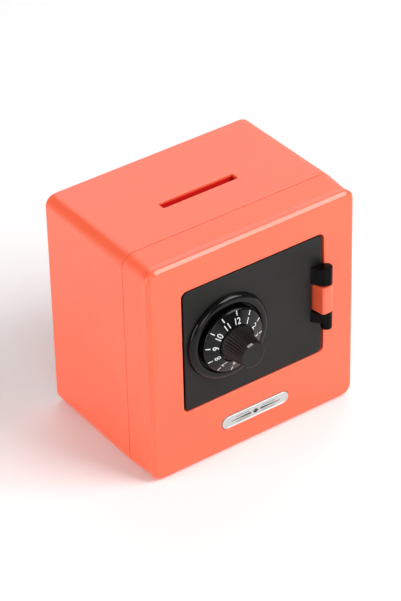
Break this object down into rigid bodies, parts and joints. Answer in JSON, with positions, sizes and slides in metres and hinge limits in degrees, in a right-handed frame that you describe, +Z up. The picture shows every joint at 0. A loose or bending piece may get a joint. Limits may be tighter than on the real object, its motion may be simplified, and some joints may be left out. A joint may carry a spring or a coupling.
{
  "type": "toy safe coin bank",
  "caption": "Box-shaped toy safe money box with a coin slot on top and a hinged door that carries a turning number dial and a notched-wheel lock.",
  "frame": {"origin": "under the middle of the whole object at rest, knob included, on the surface it stands on", "axes": "+Z up, the door and dial face -Y, +X towards the hinge side"},
  "size_m": [0.111, 0.0962, 0.1105],
  "materials": {
    "coral_plastic": "satin moulded plastic",
    "matt_black_plastic": "fine matt moulded plastic",
    "gloss_black_plastic": "gloss moulded plastic",
    "silver_film": "brushed silver film",
    "steel": "zinc plated",
    "brass": "turned",
    "natural_nylon": "moulded"
  },
  "bodies": {
    "case": {"rear_shell": "coral_plastic", "front_frame": "coral_plastic", "badge_plate": "silver_film", "hinge_pin": "steel", "case_screw_1": "steel", "case_screw_2": "steel", "case_screw_3": "steel", "case_screw_4": "steel"},
    "door": {"door_panel": "matt_black_plastic", "dial_bezel": "gloss_black_plastic", "pack_spring": "steel", "lock_cover": "matt_black_plastic", "cover_screw_1": "steel", "cover_screw_2": "steel", "cover_screw_3": "steel"},
    "dial": {"number_dial": "gloss_black_plastic", "knob": "matt_black_plastic", "spindle": "brass", "drive_wheel": "natural_nylon", "spindle_washer": "steel", "spindle_screw": "steel"},
    "wheel_1": {"code_wheel_1": "natural_nylon"},
    "wheel_2": {"code_wheel_2": "natural_nylon"}
  },
  "joints": [
    {"name": "door_hinge", "type": "hinge", "parent": "case", "child": "door", "pos_m": [0.0371, -0.03265, 0.0625], "axis": [0, 0, 1], "range_deg": [0, 170]},
    {"name": "dial_turn", "type": "hinge", "parent": "door", "child": "dial", "pos_m": [-0.0145, -0.02945, 0.0625], "axis": [0, -1, 0], "continuous": true},
    {"name": "wheel_1_turn", "type": "hinge", "parent": "door", "child": "wheel_1", "pos_m": [-0.0145, -0.02945, 0.0625], "axis": [0, -1, 0], "continuous": true},
    {"name": "wheel_2_turn", "type": "hinge", "parent": "door", "child": "wheel_2", "pos_m": [-0.0145, -0.02945, 0.0625], "axis": [0, -1, 0], "continuous": true}
  ],
  "couplings": [
    {"joint": "wheel_1_turn", "follows": "dial_turn", "ratio": 1},
    {"joint": "wheel_2_turn", "follows": "dial_turn", "ratio": 1}
  ]
}
